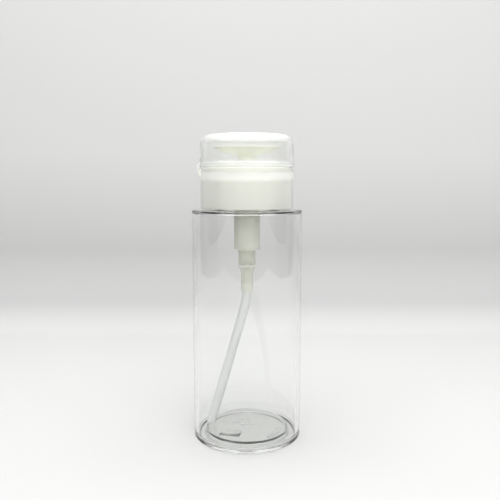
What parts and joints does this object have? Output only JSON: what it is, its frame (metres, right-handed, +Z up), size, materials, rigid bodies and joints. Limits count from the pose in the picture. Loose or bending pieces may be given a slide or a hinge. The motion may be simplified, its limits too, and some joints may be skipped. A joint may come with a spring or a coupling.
{
  "type": "press-down pump dispenser bottle",
  "caption": "Clear cylindrical bottle with a screw-on press-down pump: pressing the dish draws liquid up the dip tube into the bowl; a hinged lid covers it.",
  "frame": {"origin": "centre of the bottle's standing ring, on the surface it stands on", "axes": "+Z up along the bottle and pump axis; the lid's living hinge is on the -X side"},
  "size_m": [0.054, 0.054, 0.1498],
  "materials": {
    "clear_petg": "clear, polished, blow moulded",
    "natural_pp_lid": "natural polypropylene, glossy, slightly milky",
    "natural_pp_collar": "natural polypropylene, milky",
    "natural_pp_pump": "natural polypropylene, faintly yellow, milky",
    "white_pp_dish": "off-white polypropylene, smooth",
    "soft_seal": "matt foamed polyethylene and soft elastomer",
    "white_pe_piston": "soft white low-density polyethylene",
    "clear_pe_tube": "translucent extruded polyethylene tube",
    "stainless_wire": "drawn stainless spring wire",
    "steel_ball": "polished stainless steel ball"
  },
  "bodies": {
    "bottle": {"bottle": "clear_petg"},
    "pump": {"pump_housing": "natural_pp_pump", "neck_gasket": "soft_seal", "guide_ring": "natural_pp_pump", "stem_seal": "soft_seal", "ball_retainer": "natural_pp_pump", "dip_tube": "clear_pe_tube", "return_spring": "stainless_wire"},
    "collar": {"collar": "natural_pp_collar"},
    "lid": {"lid": "natural_pp_lid"},
    "plunger": {"dish": "white_pp_dish", "stem": "natural_pp_pump", "piston": "white_pe_piston", "outlet_insert": "white_pp_dish"},
    "inlet_ball": {"inlet_ball": "steel_ball"},
    "outlet_ball": {"outlet_ball": "steel_ball"}
  },
  "joints": [
    {"name": "pump_lift", "type": "slide", "parent": "bottle", "child": "pump", "axis": [0, 0, 1], "range_m": [0, 0.00634]},
    {"name": "collar_unscrew", "type": "hinge", "parent": "pump", "child": "collar", "pos_m": [0, 0, 0.125], "axis": [0, 0, 1], "range_deg": [0, 540]},
    {"name": "lid_hinge", "type": "hinge", "parent": "collar", "child": "lid", "pos_m": [-0.02432, 0, 0.134], "axis": [0, -1, 0], "range_deg": [0, 180]},
    {"name": "pump_stroke", "type": "slide", "parent": "pump", "child": "plunger", "axis": [0, 0, -1], "range_m": [0, 0.006], "stiffness_N_per_m": 900, "springref_m": -0.004, "deforming": ["return_spring"]},
    {"name": "inlet_valve", "type": "slide", "parent": "pump", "child": "inlet_ball", "axis": [0, 0, 1], "range_m": [0, 0.001]},
    {"name": "outlet_valve", "type": "slide", "parent": "plunger", "child": "outlet_ball", "axis": [0, 0, 1], "range_m": [0, 0.0006]}
  ],
  "couplings": [
    {"joint": "collar_unscrew", "follows": "pump_lift", "rad_per_m": 1485.4}
  ]
}
